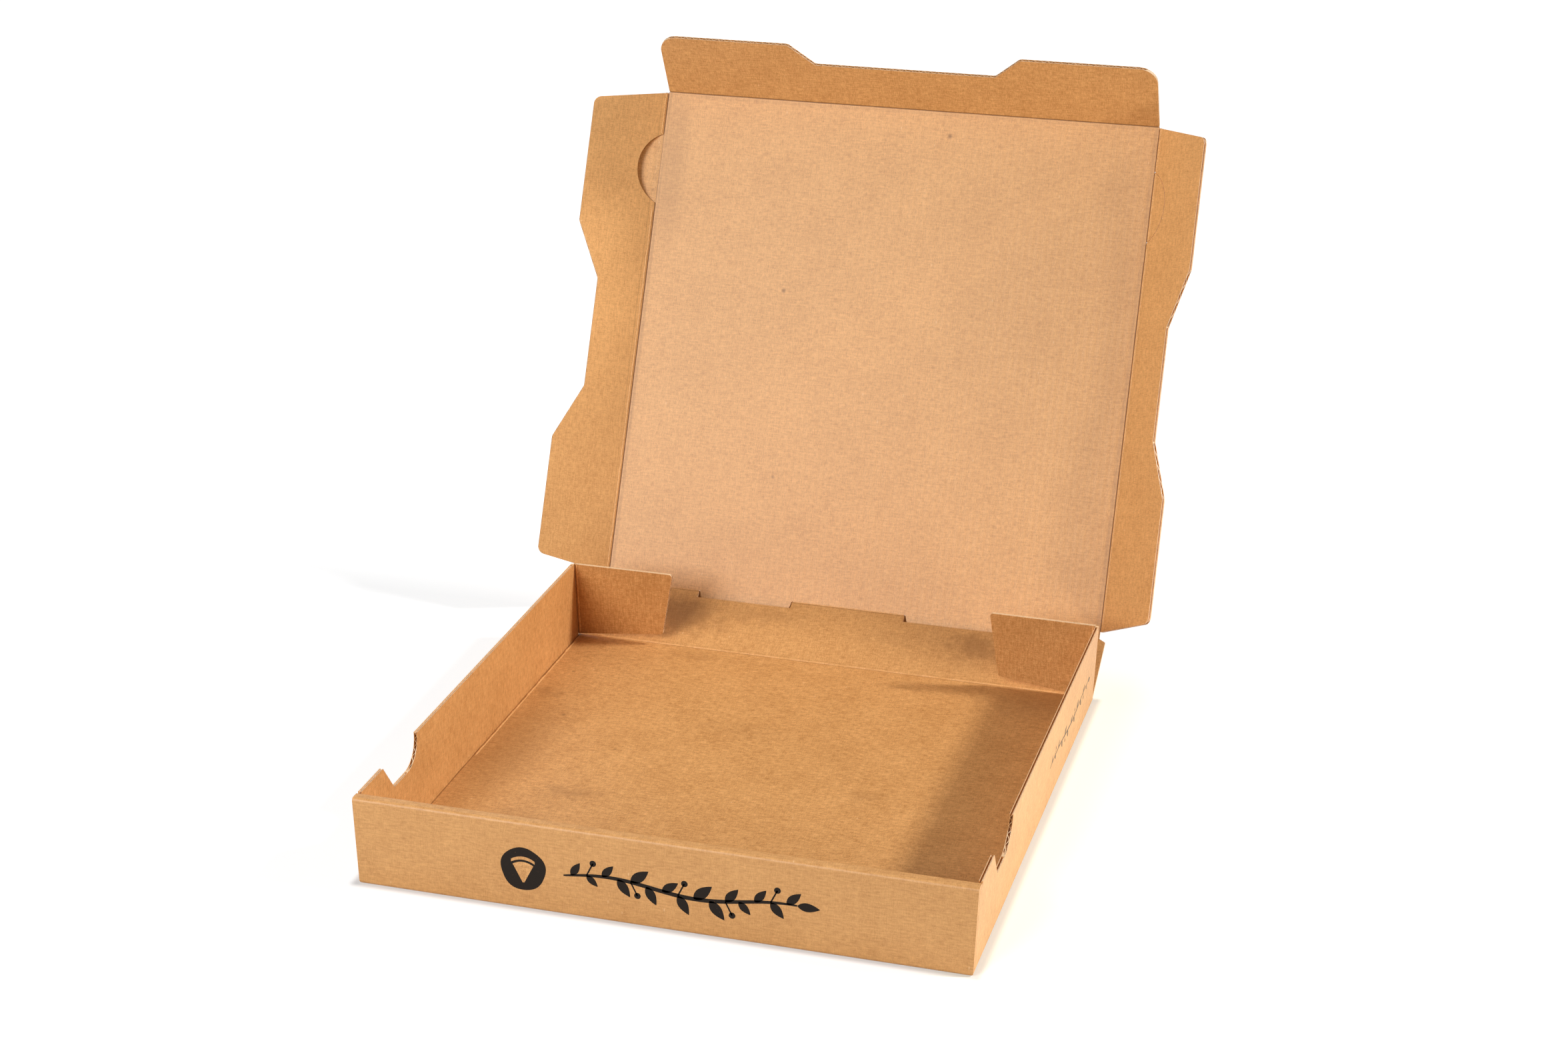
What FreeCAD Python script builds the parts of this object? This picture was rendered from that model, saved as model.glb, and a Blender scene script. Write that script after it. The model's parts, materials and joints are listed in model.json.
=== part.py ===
import FreeCAD, Part
import math
import os

V = FreeCAD.Vector

# Corrugated board and the open tray, in millimetres and degrees
board = 1.6
tray_width = 262.0
tray_depth = 264.0
wall_height = 39.8
wall_splay = 2.0
fold_gap = 0.15

# Fluting between the board's two liners, open where the board is cut
liner = 0.22
medium = 0.18
flute_pitch = 3.3
flute_base = 2.7
flute_crown = 0.5
mouth_depth = 2.2

# Front wall, rolled over inward on itself
rollover_depth = 5.8
rollover_lift = 0.2
tuck_clearance = 0.8
tab_length = 45.0
tab_margin = 1.5
corner_round = 1.3
strip_relief = 0.4

# Notch in the top edge of each side wall, measured from the front face
notch_front = 28.2
notch_slope = 9.5
notch_back = 64.4
notch_flutes = 4
notch_round = 12.5
notch_corner = 1.5

# Rear wall, folded down behind the tray
rear_lean = 68.2
lid_clearance = 0.8
rear_inset = 0.4
rear_taper = 0.6
rear_chamfer = 2.0

# Lid panel
lid_lean = 24.9
side_play = 0.9
front_play = 3.5

# Tabs of the lid that reach below its fold, cut out of the rear wall
hinge_tab_depth = 4.5
hinge_tab_inner = 29.0
hinge_tab_outer = 78.0
hinge_tab_gap = 0.3
hinge_tab_taper = 1.5

# Flaps of the lid
left_turn = 31.1
right_turn = 47.0
front_turn = 53.3
floor_play = 1.0
flap_waist_flutes = 4
flap_start = 3.2
flap_end = 0.6
flap_rear_corner = 9.6
flap_waist_rear = 69.3
flap_waist_slope = 27.8
flap_waist_front = 152.5
flap_front_corner = 9.0
flap_round = 4.0
front_flap_depth = 36.2
front_flap_inset = 0.3
front_flap_round = 9.0
recess_depth = 11.7
recess_half = 46.0
recess_slope = 13.0
recess_round = 3.0

# Half-moon tongues on the lid's side folds
moon_from_front = 40.0
moon_half = 17.8
moon_depth = 11.5
moon_turn = 8.0
moon_root = 0.6
moon_gap = 0.15
moon_score = 0.4

# Corner flaps on the rear ends of the side walls
corner_play = 0.4
corner_turn = 90.0
corner_top = 51.0
corner_bottom = 44.6
corner_foot = 0.7
corner_lift = 4.2
corner_tip_round = 1.5

# Derived places
splay = math.radians(wall_splay)
wall_length = (wall_height - board) / math.cos(splay)
notch_floor = wall_height - notch_flutes * flute_pitch * math.cos(splay)
front_y = -tray_depth / 2
fold_y = tray_depth / 2
side_front_y = front_y + board
side_rear_y = fold_y - board - corner_play
rear_height = wall_height - board + lid_clearance
lid_length = tray_depth - rollover_depth - board - front_play
lid_half = tray_width / 2 - 2 * board - side_play
flap_depth = rear_height - floor_play
flap_waist = flap_depth - flap_waist_flutes * flute_pitch
moon_radius = (moon_half ** 2 + moon_depth ** 2) / (2 * moon_depth)
moon_inset = moon_radius - moon_depth
moon_at = lid_length - moon_from_front
lean = math.radians(rear_lean)
lid_tilt = math.radians(lid_lean)
left_angle = math.radians(left_turn)
right_angle = math.radians(right_turn)
front_angle = math.radians(front_turn)
moon_angle = math.radians(moon_turn)
corner_angle = math.radians(corner_turn)
rear_up = V(0, math.sin(lean), math.cos(lean))
lid_up = V(0, math.sin(lid_tilt), math.cos(lid_tilt))
lid_in = V(0, -math.cos(lid_tilt), math.sin(lid_tilt))
rear_fold_line = V(0, fold_y, board)
lid_fold_line = rear_fold_line + rear_up * rear_height
front_fold_line = lid_fold_line + lid_up * lid_length


def rounded(points):
    """Flat face through corners given as (a, b) or (a, b, radius)."""
    corners = []
    for index, corner in enumerate(points):
        here = V(corner[0], corner[1], 0)
        radius = corner[2] if len(corner) > 2 else 0
        if not radius:
            corners.append((here, here, here))
            continue
        before = V(*points[index - 1][:2], 0)
        after = V(*points[(index + 1) % len(points)][:2], 0)
        back = (before - here).normalize()
        ahead = (after - here).normalize()
        half = back.getAngle(ahead) / 2
        reach = radius / math.tan(half)
        bisector = (back + ahead).normalize()
        middle = here + bisector * (radius / math.sin(half) - radius)
        corners.append((here + back * reach, middle, here + ahead * reach))
    edges = []
    for index, (start, middle, end) in enumerate(corners):
        if not start.isEqual(end, 1e-9):
            edges.append(Part.Arc(start, middle, end).toShape())
        following = corners[(index + 1) % len(corners)][0]
        if not end.isEqual(following, 1e-9):
            edges.append(Part.makeLine(end, following))
    return Part.Face(Part.Wire(edges))


def place(origin, along, away):
    """Placement whose first two axes are along and away."""
    normal = along.cross(away)
    rows = []
    for axis in ("x", "y", "z"):
        rows += [getattr(v, axis) for v in (along, away, normal, origin)]
    return FreeCAD.Placement(FreeCAD.Matrix(*rows, 0, 0, 0, 1))


def plate(points, frame, depth):
    """Sheet of the given outline, pushed along the frame's normal."""
    solid = rounded(points).extrude(V(0, 0, depth))
    solid.Placement = frame
    return solid


def flute(frame, face, at, start, length, outer=False):
    """Hollow of one flute, lying on the inner or the outer liner.

    The frame's first axis runs along the flute, its second across the
    board, and face tells which side of the frame the board lies on.
    """
    base = board - liner if outer else liner
    crown = liner + medium if outer else board - liner - medium
    section = [
        (at - flute_base / 2, base),
        (at + flute_base / 2, base),
        (at + flute_crown / 2, crown),
        (at - flute_crown / 2, crown),
    ]
    corners = [V(start, a, face * w) for a, w in section]
    hollow = Part.Face(Part.makePolygon(corners + corners[:1]))
    hollow = hollow.extrude(V(length, 0, 0))
    hollow.Placement = frame
    return hollow


def fluting(frame, face, low, high, start, length):
    """Hollows of all flutes across a board, spaced down from its high edge."""
    count = int((high - low - flute_base / 2) / (flute_pitch / 2))
    hollows = []
    for step in range(1, count + 1):
        at = high - step * flute_pitch / 2
        outer = step % 2 == 1
        hollows.append(flute(frame, face, at, start, length, outer))
    return Part.makeCompound(hollows)


def rim(panel, direction):
    """Border along the cut edges that look in a direction, a mouth deep."""
    moved = panel.copy()
    moved.translate(direction * -mouth_depth)
    return panel.cut(moved)


def inner_x(z):
    """Inner face of a side wall at height z."""
    return tray_width / 2 - board + (z - board) * math.tan(splay)


def outer_x(z):
    """Outer face of a side wall at height z."""
    return inner_x(z) + board / math.cos(splay)


def across(y):
    """Frame for outlines drawn in width and height, facing the front."""
    return place(V(0, y, 0), V(1, 0, 0), V(0, 0, 1))


def lengthwise(x):
    """Frame for outlines drawn in depth and height, facing the right side."""
    return place(V(x, 0, 0), V(0, 1, 0), V(0, 0, 1))


def tray_body():
    """Floor and both side walls, folded up with rounded outer creases."""
    points = [
        (-outer_x(wall_height), wall_height),
        (-outer_x(0), 0, board),
        (outer_x(0), 0, board),
        (outer_x(wall_height), wall_height),
        (inner_x(wall_height), wall_height),
        (inner_x(board), board),
        (-inner_x(board), board),
        (-inner_x(wall_height), wall_height),
    ]
    body = plate(points, across(side_front_y), side_front_y - side_rear_y)
    upright = []
    for edge in body.Edges:
        ends = [v.Point for v in edge.Vertexes]
        if len(ends) == 2 and all(abs(p.y - side_front_y) < 1e-6 for p in ends):
            outside = all(abs(abs(p.x) - outer_x(p.z)) < 1e-6 for p in ends)
            if outside and abs(ends[0].z - ends[1].z) > wall_height / 2:
                upright.append(edge)
    return body.makeFillet(corner_round, upright)


def notch(side):
    """Material taken from one side wall's top edge, behind its front end."""
    start = front_y + notch_front
    end = front_y + notch_back
    above = wall_height + board
    points = [
        (start, above),
        (start, wall_height),
        (start + notch_slope, notch_floor, notch_corner),
        (end, notch_floor, notch_round),
        (end, above),
    ]
    return plate(points, lengthwise(side * tray_width / 2 - 3 * board), 6 * board)


def strip_cut(side):
    """Lowered end of a side wall, under the rolled-over strip."""
    low = wall_height - board - rollover_lift
    length = rollover_depth + strip_relief
    corner = V(side * tray_width / 2 - 3 * board, front_y, low)
    return Part.makeBox(6 * board, length, 2 * board, corner)


def rollover():
    """Front wall: outer panel, strip along the top, and inner panel."""
    back = front_y + rollover_depth
    points = [
        (back + board, 0),
        (front_y, 0, board),
        (front_y, wall_height, board),
        (back, wall_height, board),
        (back, board + rollover_lift),
        (back - board, board + rollover_lift),
        (back - board, wall_height - board),
        (front_y + board, wall_height - board),
        (front_y + board, board),
        (back + board, board),
    ]
    span = tray_width + 4 * board
    wall = plate(points, lengthwise(-span / 2), span)
    for side in (-1, 1):
        wall = wall.cut(tuck_room(side))
    return wall.common(silhouette())


def tuck_room(side):
    """Space that the inner front panel leaves beside a side wall."""
    low = board
    high = wall_height - board
    points = [
        (side * (inner_x(low) - tuck_clearance), low),
        (side * (inner_x(high) - tuck_clearance), high),
        (side * tray_width, high),
        (side * tray_width, low),
    ]
    depth = rollover_depth - board
    return plate(points, across(side_front_y), -depth)


def silhouette():
    """The tray's outer outline seen from the front, through its depth."""
    points = [
        (-outer_x(wall_height), wall_height),
        (-outer_x(0), 0, board),
        (outer_x(0), 0, board),
        (outer_x(wall_height), wall_height),
    ]
    return plate(points, across(front_y), -tray_depth)


def front_tab(side):
    """Tab on a side wall's front end, tucked inside the rolled-over wall."""
    low = board + tab_margin
    high = wall_height - board - tab_margin
    reach = inner_x(low) - tab_length
    points = [
        (side * (inner_x(low) + board / 2), low),
        (side * (inner_x(high) + board / 2), high),
        (side * reach, high - 2 * tab_margin, tab_margin),
        (side * reach, low + 2 * tab_margin, tab_margin),
    ]
    return plate(points, across(side_front_y), -board)


def rear_floor():
    """Floor between the side walls' rear ends and the rear fold."""
    width = 2 * inner_x(board)
    corner = V(-width / 2, side_rear_y - board, 0)
    return Part.makeBox(width, fold_y - side_rear_y + board, board, corner)


def wall_hollows(body, side):
    """Flutes that a side wall shows at its notch and along its top edge."""
    up = V(side * math.sin(splay), 0, math.cos(splay))
    along = V(0, 1, 0)
    frame = place(V(side * inner_x(board), 0, board), along, up)
    floor = wall_length - notch_flutes * flute_pitch
    front = front_y + notch_front
    slope = front + notch_slope
    back = front_y + notch_back
    strip_end = front_y + rollover_depth + strip_relief
    low = floor - flute_base
    reach = back - front + 2 * mouth_depth
    hollows = fluting(frame, side, low, wall_length, front - mouth_depth, reach)
    mouths = hollows.common(rim(body, along).fuse(rim(body, along * -1)))
    top = flute(frame, side, wall_length, strip_end, side_rear_y - board - strip_end)
    bottom = flute(frame, side, floor, slope, back - notch_round - slope)
    return [mouths, top, bottom]


def base_tray():
    """Tray in one piece: floor, side walls, front wall and tucked tabs."""
    body = tray_body()
    for side in (-1, 1):
        body = body.cut(notch(side))
        body = body.cut(strip_cut(side))
    body = body.cut(wall_hollows(body, -1) + wall_hollows(body, 1))
    body = body.fuse([rollover(), rear_floor(), front_tab(-1), front_tab(1)])
    return body.removeSplitter()


def rear_wall():
    """Rear wall, its top edge cut lower where the lid's tabs came out of it."""
    foot = tray_width / 2 - rear_inset
    head = foot - rear_taper
    fold = rear_height - fold_gap
    low = rear_height - hinge_tab_depth
    right = [
        (foot, fold_gap),
        (head, fold - rear_chamfer),
        (lid_half, fold),
        (hinge_tab_outer, fold),
        (hinge_tab_outer, low),
        (hinge_tab_inner, low),
        (hinge_tab_inner, fold),
    ]
    left = [(-a, b) for a, b in reversed(right)]
    frame = place(rear_fold_line, V(1, 0, 0), rear_up)
    return plate(right + left, frame, -board)


def half_moon():
    """Left half-moon, held by the lid's fold and turned less than its flap."""
    frame = side_flap_frame(-1, moon_angle)
    disc = Part.makeCylinder(moon_radius, board, V(moon_at, -moon_inset, -board))
    disc.Placement = frame
    beyond_fold = [
        (0, -moon_root),
        (lid_length, -moon_root),
        (lid_length, flap_depth),
        (0, flap_depth),
    ]
    return disc.common(plate(beyond_fold, frame, -board))


def lid_panel():
    """Lid panel with its two tabs below the fold and the left half-moon."""
    edge = lid_half - fold_gap
    inner = hinge_tab_inner + hinge_tab_gap
    outer = hinge_tab_outer - hinge_tab_gap
    tip = hinge_tab_gap - hinge_tab_depth
    right = [
        (inner, fold_gap),
        (inner + hinge_tab_taper, tip),
        (outer - hinge_tab_taper, tip),
        (outer, fold_gap),
        (edge, fold_gap),
        (edge, lid_length - fold_gap),
    ]
    left = [(-a, b) for a, b in reversed(right)]
    frame = place(lid_fold_line, V(1, 0, 0), lid_up)
    panel = plate(right + left, frame, -board)
    panel = panel.fuse(half_moon()).removeSplitter()
    return panel.cut([tab_mouths(-outer, -inner, tip), tab_mouths(inner, outer, tip)])


def tab_mouths(low, high, tip):
    """Flutes laid open at the end of one of the lid's tabs."""
    frame = place(lid_fold_line, lid_up, V(1, 0, 0))
    low = low + hinge_tab_taper
    high = high - hinge_tab_taper
    return fluting(frame, 1, low, high, tip - board, board + mouth_depth)


def side_flap_outline():
    """Side flap in length along the lid and distance from its fold."""
    waist_end = flap_waist_front + flap_waist_slope
    return [
        (flap_start, fold_gap),
        (flap_rear_corner, flap_depth, flap_round),
        (flap_waist_rear, flap_depth, flap_round),
        (flap_waist_rear + flap_waist_slope, flap_waist, flap_round),
        (flap_waist_front, flap_waist, flap_round),
        (waist_end, flap_depth, flap_round),
        (lid_length - flap_front_corner, flap_depth, flap_round),
        (lid_length - flap_end, fold_gap),
    ]


def side_flap_frame(side, angle):
    """Frame on a lid side fold: along the lid, then away from the fold."""
    away = V(side * math.cos(angle), 0, 0) + lid_in * math.sin(angle)
    origin = lid_fold_line + V(side * lid_half, 0, 0)
    return place(origin, lid_up, away)


def side_flap(side, frame):
    """Side flap whose flutes run along the lid and open at its cut ends."""
    flap = plate(side_flap_outline(), frame, side * board)
    hollows = fluting(frame, side, 0, flap_depth, 0, lid_length)
    mouths = hollows.common(rim(flap, lid_up).fuse(rim(flap, lid_up * -1)))
    edge = flute(frame, side, flap_depth, 0, lid_length)
    waist_start = flap_waist_rear + flap_waist_slope
    waist = flute(frame, side, flap_waist, waist_start, flap_waist_front - waist_start)
    return flap.cut([mouths, edge, waist])


def lid_left_flap():
    """Left lid flap, with the opening that its half-moon left."""
    frame = side_flap_frame(-1, left_angle)
    flap = side_flap(-1, frame)
    centre = V(moon_at, -moon_inset, -board)
    hole = Part.makeCylinder(moon_radius + moon_gap, board, centre)
    hole.Placement = frame
    return flap.cut(hole)


def lid_right_flap():
    """Right lid flap, its half-moon only scored and still in its plane."""
    frame = side_flap_frame(1, right_angle)
    flap = side_flap(1, frame)
    centre = V(moon_at, -moon_inset, 0)
    ring = Part.makeCylinder(moon_radius, moon_score, centre)
    ring = ring.cut(Part.makeCylinder(moon_radius - moon_score, moon_score, centre))
    ring.Placement = frame
    return flap.cut(ring)


def lid_front_flap():
    """Front lid flap with rounded corners and a recess in its free edge."""
    away = lid_up * math.cos(front_angle) + lid_in * math.sin(front_angle)
    edge = lid_half - front_flap_inset
    right = [
        (edge, fold_gap),
        (edge, front_flap_depth, front_flap_round),
        (recess_half + recess_slope, front_flap_depth, recess_round),
        (recess_half, front_flap_depth - recess_depth, recess_round),
    ]
    left = [(-corner[0], *corner[1:]) for corner in reversed(right)]
    flap = plate(right + left, place(front_fold_line, V(1, 0, 0), away), -board)
    frame = place(front_fold_line, away, V(1, 0, 0))
    end = edge - front_flap_round / 2
    hollows = fluting(frame, 1, -end, end, 0, front_flap_depth)
    return flap.cut(hollows.common(rim(flap, away)))


def corner_flap(side):
    """Flap on a side wall's rear end, turned inward along the rear."""
    axis = V(side * math.sin(splay), 0, math.cos(splay))
    inward = V(-side * math.cos(splay), 0, math.sin(splay))
    away = V(0, math.cos(corner_angle), 0) + inward * math.sin(corner_angle)
    drop = corner_top * math.tan(splay)
    points = [
        (corner_foot, fold_gap),
        (corner_lift, corner_bottom, corner_tip_round),
        (wall_length - drop, corner_top, corner_tip_round),
        (wall_length - rollover_lift, fold_gap),
    ]
    origin = V(side * inner_x(board), side_rear_y, board)
    flap = plate(points, place(origin, axis, away), -side * board)
    frame = place(origin, away, axis)
    start = corner_bottom - 2 * mouth_depth
    hollows = fluting(frame, side, corner_lift, wall_length - board, start, corner_top)
    return flap.cut(hollows.common(rim(flap, away)))


nodes = {
    "base_tray": base_tray(),
    "rear_wall": rear_wall(),
    "lid_panel": lid_panel(),
    "lid_front_flap": lid_front_flap(),
    "lid_left_flap": lid_left_flap(),
    "lid_right_flap": lid_right_flap(),
    "left_corner_flap": corner_flap(-1),
    "right_corner_flap": corner_flap(1),
}

os.makedirs("parts", exist_ok=True)
for name, shape in nodes.items():
    shape.exportStep("parts/" + name + ".step")
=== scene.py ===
import json
import math

import bmesh
import bpy
import numpy as np
from bpy.props import FloatProperty, FloatVectorProperty, PointerProperty
from bpy.types import Operator, Panel, PropertyGroup
from mathutils import Euler, Matrix, Vector

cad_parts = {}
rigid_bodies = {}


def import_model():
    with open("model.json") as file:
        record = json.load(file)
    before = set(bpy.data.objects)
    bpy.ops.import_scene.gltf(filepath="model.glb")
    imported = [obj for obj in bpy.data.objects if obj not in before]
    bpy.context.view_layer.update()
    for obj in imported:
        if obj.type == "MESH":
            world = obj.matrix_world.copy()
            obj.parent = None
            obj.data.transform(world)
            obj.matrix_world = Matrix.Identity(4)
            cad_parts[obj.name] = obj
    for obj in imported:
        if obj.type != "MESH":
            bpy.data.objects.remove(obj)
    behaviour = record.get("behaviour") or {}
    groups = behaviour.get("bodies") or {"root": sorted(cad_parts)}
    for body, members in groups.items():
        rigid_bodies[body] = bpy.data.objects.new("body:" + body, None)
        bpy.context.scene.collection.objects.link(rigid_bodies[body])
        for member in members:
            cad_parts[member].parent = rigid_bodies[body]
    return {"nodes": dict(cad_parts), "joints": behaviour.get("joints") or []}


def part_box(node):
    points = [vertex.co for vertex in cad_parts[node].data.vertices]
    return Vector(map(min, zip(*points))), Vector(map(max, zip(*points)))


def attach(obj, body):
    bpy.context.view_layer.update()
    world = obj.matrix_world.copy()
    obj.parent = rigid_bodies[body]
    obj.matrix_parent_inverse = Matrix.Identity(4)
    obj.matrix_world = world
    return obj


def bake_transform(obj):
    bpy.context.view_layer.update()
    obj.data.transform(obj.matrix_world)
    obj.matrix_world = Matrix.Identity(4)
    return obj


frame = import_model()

bl_info = {
    "name": "Pizza Box Dressing",
    "version": (1, 0, 0),
    "blender": (4, 5, 0),
    "location": "View3D > Sidebar > Pizza Box",
    "description": "Kraft board, creases and print for an open pizza box",
    "category": "Object",
}

MM = 0.001
JOINTS = {joint["name"]: joint for joint in frame["joints"]}

# The rear fold lies on the floor's upper face, one board thickness up
BOARD = JOINTS["rear_wall_fold"]["pos_m"][2]

# Above this height the tray's level faces are edges and no longer its floor
RAISED = 15 * MM

# Directions in which the base tray's own faces look
UP = np.array([0.0, 0.0, 1.0])
FRONT = np.array([0.0, -1.0, 0.0])
RIGHT = np.array([1.0, 0.0, 0.0])


class BoardLook(PropertyGroup):
    """Colours and texture of the brown corrugated board."""

    kraft_dark: FloatVectorProperty(
        name="Dark kraft", description="Colour of the liner's dark fibres",
        subtype="COLOR", size=3, min=0, max=1, default=(0.455, 0.196, 0.050))
    kraft_pale: FloatVectorProperty(
        name="Pale kraft", description="Colour of the liner's pale fibres",
        subtype="COLOR", size=3, min=0, max=1, default=(0.85, 0.454, 0.168))
    cut_edge: FloatVectorProperty(
        name="Cut edge", description="Colour of freshly cut board",
        subtype="COLOR", size=3, min=0, max=1, default=(0.90, 0.60, 0.35))
    # The soiling colour serves the real smudges and specks and also the painted shade in folds
    # and corners
    soiling_and_shade: FloatVectorProperty(
        name="Soiling", description="Colour of smudges and dark specks",
        subtype="COLOR", size=3, min=0, max=1, default=(0.27, 0.110, 0.026))
    mottling: FloatProperty(
        name="Mottling", description="Strength of the liner's light and dark patches",
        min=0, max=2, default=0.34)
    fibre: FloatProperty(
        name="Fibre", description="Strength of the fibre grain",
        min=0, max=2, default=0.95)
    tray_grain: FloatProperty(
        name="Tray grain", description="How much stronger the tray's grain is",
        min=0, max=4, default=1.55)
    flute_pitch: FloatProperty(
        name="Flute pitch", description="Spacing of the fluting under the liner",
        unit="LENGTH", default=3.3 * MM)
    washboard: FloatProperty(
        name="Washboard", description="Depth at which the fluting shows through",
        unit="LENGTH", default=0.022 * MM)
    roughness: FloatProperty(
        name="Roughness", description="Roughness of the uncoated liner",
        subtype="FACTOR", min=0, max=1, default=0.46)


class CreaseLook(PropertyGroup):
    """Sizes of the folded board between the panels."""

    clearance: FloatProperty(
        name="Clearance", description="How far the bend stays inside the outer liner",
        unit="LENGTH", default=0.04 * MM)
    bead: FloatProperty(
        name="Bead", description="Radius of the bulge on the inside of a fold",
        unit="LENGTH", default=0.55 * MM)
    # The dark line in a fold and the pressed band beside it are painted shade
    line: FloatProperty(
        name="Line", description="Half width of the dark line in a fold",
        unit="LENGTH", default=0.38 * MM)
    band: FloatProperty(
        name="Band", description="Half width of the pressed band beside a fold",
        unit="LENGTH", default=1.5 * MM)
    # The liners are board-coloured sheets set behind the gaps beside the tabs and round the
    # half-moon, so that these show as shade
    tab_overlap: FloatProperty(
        name="Tab overlap", description="How far the liner reaches beside the lid's tabs",
        unit="LENGTH", default=2.4 * MM)
    moon_overlap: FloatProperty(
        name="Half-moon overlap", description="How far the liner reaches round the half-moon",
        unit="LENGTH", default=1.5 * MM)


class PrintLook(PropertyGroup):
    """Ink and sizes of the print on the outside of the tray."""

    ink: FloatVectorProperty(
        name="Ink", description="Colour of the front print",
        subtype="COLOR", size=3, min=0, max=1, default=(0.017, 0.012, 0.009))
    faded_ink: FloatVectorProperty(
        name="Faded ink", description="Colour of the print on the right side",
        subtype="COLOR", size=3, min=0, max=1, default=(0.20, 0.15, 0.10))
    badge_radius: FloatProperty(
        name="Badge radius", description="Radius of the round badge",
        unit="LENGTH", default=9.8 * MM)
    badge_place: FloatVectorProperty(
        name="Badge place", description="Middle of the badge, from the wall's foot",
        unit="LENGTH", size=2, default=(-57.5 * MM, 18.6 * MM))
    slice_size: FloatProperty(
        name="Slice size", description="Half height of the slice of pizza",
        unit="LENGTH", default=6.4 * MM)
    stroke: FloatProperty(
        name="Stroke", description="Width of the sprig's stem",
        unit="LENGTH", default=1.9 * MM)
    film: FloatProperty(
        name="Film", description="Thickness of the ink",
        unit="LENGTH", default=0.03 * MM)


class StageLook(PropertyGroup):
    """Camera and lights."""

    camera_place: FloatVectorProperty(
        name="Camera place", description="Where the camera stands",
        subtype="TRANSLATION", size=3, default=(0.3215, -1.0693, 0.5753))
    heading: FloatProperty(
        name="Heading", description="Camera turned about the vertical",
        subtype="ANGLE", default=math.radians(16.01))
    tilt: FloatProperty(
        name="Tilt", description="Camera turned down from the level",
        subtype="ANGLE", default=math.radians(21.87))
    roll: FloatProperty(
        name="Roll", description="Camera turned about its line of sight",
        subtype="ANGLE", default=math.radians(0.32))
    lens: FloatProperty(
        name="Lens", description="Focal length on a 36 mm sensor",
        subtype="DISTANCE_CAMERA", default=64.1)
    key: FloatProperty(
        name="Key light", description="Strength of the lamp at the right",
        min=0, default=2.4)
    rim: FloatProperty(
        name="Rim light", description="Strength of the low lamp at the right",
        min=0, default=0.60)
    fill: FloatProperty(
        name="Fill light", description="Strength of the soft lamp at the front",
        min=0, default=45.0)
    ambient: FloatProperty(
        name="Ambient", description="Strength of the even light from all sides",
        min=0, default=0.07)
    floor_grey: FloatProperty(
        name="Floor grey", description="Share of light that the floor throws back",
        subtype="FACTOR", min=0, max=1, default=0.62)
    floor_glow: FloatProperty(
        name="Floor glow", description="Light added where the camera sees the floor",
        min=0, default=0.68)
    contact_reach: FloatProperty(
        name="Contact reach", description="Width of the shade along the box's foot",
        unit="LENGTH", default=4.0 * MM)
    contact_shade: FloatProperty(
        name="Contact shade", description="Strength of the shade along the box's foot",
        subtype="FACTOR", min=0, max=1, default=0.60)
    # The warm tint is painted bounce light from the lit right wall
    warm_bounce_reach: FloatProperty(
        name="Warm reach", description="Width of the warm tint at the right of the box",
        unit="LENGTH", default=60.0 * MM)
    warm_bounce_tint: FloatVectorProperty(
        name="Warm tint", description="Colour of the floor beside the lit right wall",
        subtype="COLOR", size=3, min=0, max=1, default=(1.0, 0.96, 0.74))


class NodeWriter:
    """Short calls for building one material's node tree."""

    def __init__(self, name):
        self.material = bpy.data.materials.new(name)
        self.material.use_nodes = True
        self.tree = self.material.node_tree
        self.shader = self.tree.nodes["Principled BSDF"]

    def add(self, kind, inputs=(), **settings):
        """New node of a kind, with its settings and its inputs by name."""
        made = self.tree.nodes.new(kind)
        for key, value in settings.items():
            setattr(made, key, value)
        for key, value in dict(inputs).items():
            self.feed(made.inputs[key], value)
        return made

    def feed(self, socket, value):
        """Link a socket to another one, or give it a value."""
        if isinstance(value, bpy.types.NodeSocket):
            self.tree.links.new(value, socket)
        else:
            socket.default_value = value

    def math(self, operation, first, second=0.0, third=0.0, clamp=False):
        """Result of a sum on numbers or sockets."""
        made = self.add("ShaderNodeMath", operation=operation, use_clamp=clamp)
        for index, value in enumerate((first, second, third)):
            self.feed(made.inputs[index], value)
        return made.outputs[0]

    def vector(self, operation, first, second=(0.0, 0.0, 0.0), output="Vector"):
        """Result of a sum on vectors."""
        made = self.add("ShaderNodeVectorMath", operation=operation)
        self.feed(made.inputs[0], first)
        self.feed(made.inputs[1], second)
        return made.outputs[output]

    def ease(self, value, low, high, start=0.0, end=1.0):
        """Smooth step of a value between two limits."""
        made = self.add("ShaderNodeMapRange", interpolation_type="SMOOTHSTEP")
        for key, number in (("Value", value), ("From Min", low), ("From Max", high),
                            ("To Min", start), ("To Max", end)):
            self.feed(made.inputs[key], number)
        return made.outputs["Result"]

    def noise(self, place, scale, detail=2.0, distortion=0.0):
        """Noise about zero, from roughly minus a half to a half."""
        made = self.add("ShaderNodeTexNoise", {"Vector": place, "Scale": scale,
                        "Detail": detail, "Distortion": distortion})
        return self.math("SUBTRACT", made.outputs["Fac"], 0.5)

    def tint(self, share, first, second):
        """Mix of two colours."""
        made = self.add("ShaderNodeMix", data_type="RGBA")
        self.feed(made.inputs[0], share)
        self.feed(made.inputs[6], first)
        self.feed(made.inputs[7], second)
        return made.outputs[2]

    def total(self, *values):
        """Sum of several numbers."""
        result = values[0]
        for value in values[1:]:
            result = self.math("ADD", result, value)
        return result


def opaque(colour, share=1.0):
    """A colour with its alpha, scaled by a share."""
    return (*(min(1.0, part * share) for part in colour), 1.0)


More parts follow.
